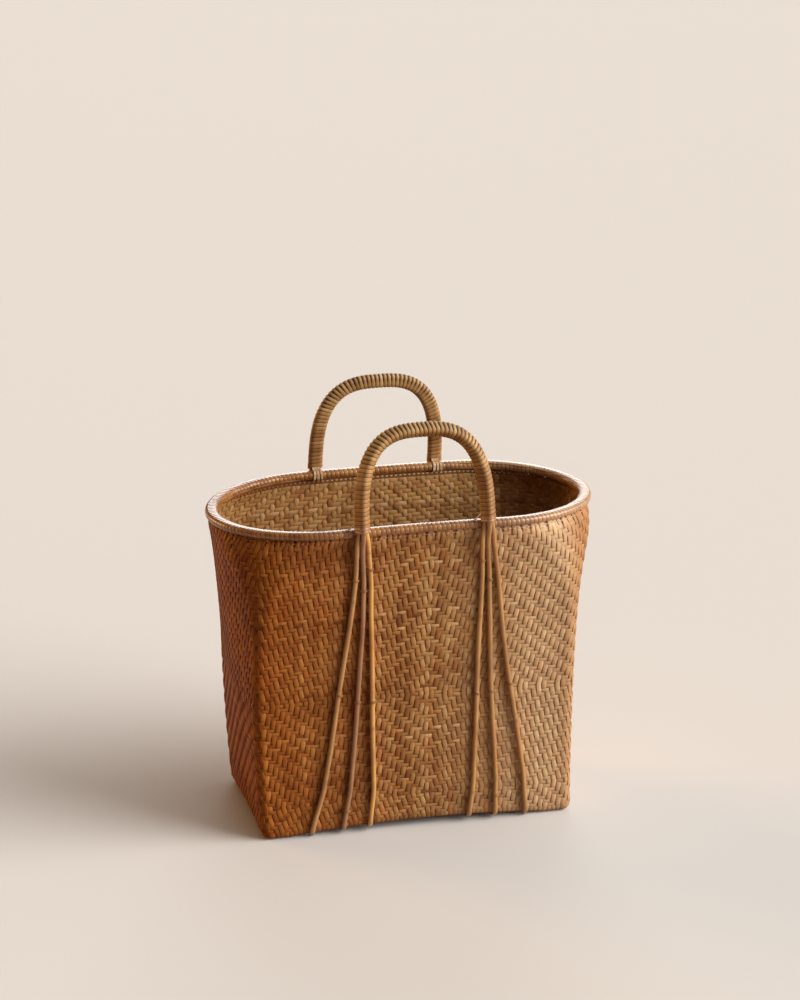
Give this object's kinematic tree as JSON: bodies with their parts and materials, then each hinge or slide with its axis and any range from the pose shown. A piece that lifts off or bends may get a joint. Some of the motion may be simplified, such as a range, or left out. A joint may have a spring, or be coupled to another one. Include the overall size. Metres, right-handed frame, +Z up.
{
  "type": "bamboo shopping basket",
  "caption": "Plaited bamboo shopping basket with an oval bound mouth, a rectangular base and a pair of lashed cane handles that lean inwards.",
  "frame": {"origin": "on the floor, under the middle of the base", "axes": "+X along the mouth's long axis, +Y towards the back handle, +Z up"},
  "size_m": [0.38, 0.221, 0.4139],
  "materials": {
    "weave": "aged split bamboo, satin",
    "hoop": "split bamboo, matt",
    "binding": "polished thin strip, glossy",
    "cane": "round cane, satin",
    "wrap": "flat cane strip, satin",
    "lashing": "flat cane strip, satin",
    "tie": "thin strip, matt"
  },
  "bodies": {
    "root": {"woven_body": "weave", "rim_outer_hoop": "hoop", "rim_inner_hoop": "hoop", "rim_binding": "binding", "front_handle_outer_cane": "cane", "front_handle_middle_cane": "cane", "front_handle_inner_cane": "cane", "front_handle_wrap": "wrap", "front_left_leg_lashing": "lashing", "front_left_outer_cane_upper_tie": "tie", "front_left_outer_cane_mid_tie": "tie", "front_left_middle_cane_upper_tie": "tie", "front_left_middle_cane_mid_tie": "tie", "front_left_middle_cane_low_tie": "tie", "front_left_inner_cane_upper_tie": "tie", "front_left_inner_cane_mid_tie": "tie", "front_right_leg_lashing": "lashing", "front_right_outer_cane_mid_tie": "tie", "front_right_middle_cane_upper_tie": "tie", "front_right_middle_cane_mid_tie": "tie", "front_right_middle_cane_low_tie": "tie", "front_right_inner_cane_upper_tie": "tie", "front_right_inner_cane_mid_tie": "tie", "back_handle_outer_cane": "cane", "back_handle_middle_cane": "cane", "back_handle_inner_cane": "cane", "back_handle_wrap": "wrap", "back_right_leg_lashing": "lashing", "back_right_outer_cane_upper_tie": "tie", "back_right_outer_cane_mid_tie": "tie", "back_right_middle_cane_upper_tie": "tie", "back_right_middle_cane_mid_tie": "tie", "back_right_middle_cane_low_tie": "tie", "back_right_inner_cane_upper_tie": "tie", "back_right_inner_cane_mid_tie": "tie", "back_left_leg_lashing": "lashing", "back_left_outer_cane_mid_tie": "tie", "back_left_middle_cane_upper_tie": "tie", "back_left_middle_cane_mid_tie": "tie", "back_left_middle_cane_low_tie": "tie", "back_left_inner_cane_upper_tie": "tie", "back_left_inner_cane_mid_tie": "tie"}
  },
  "joints": []
}
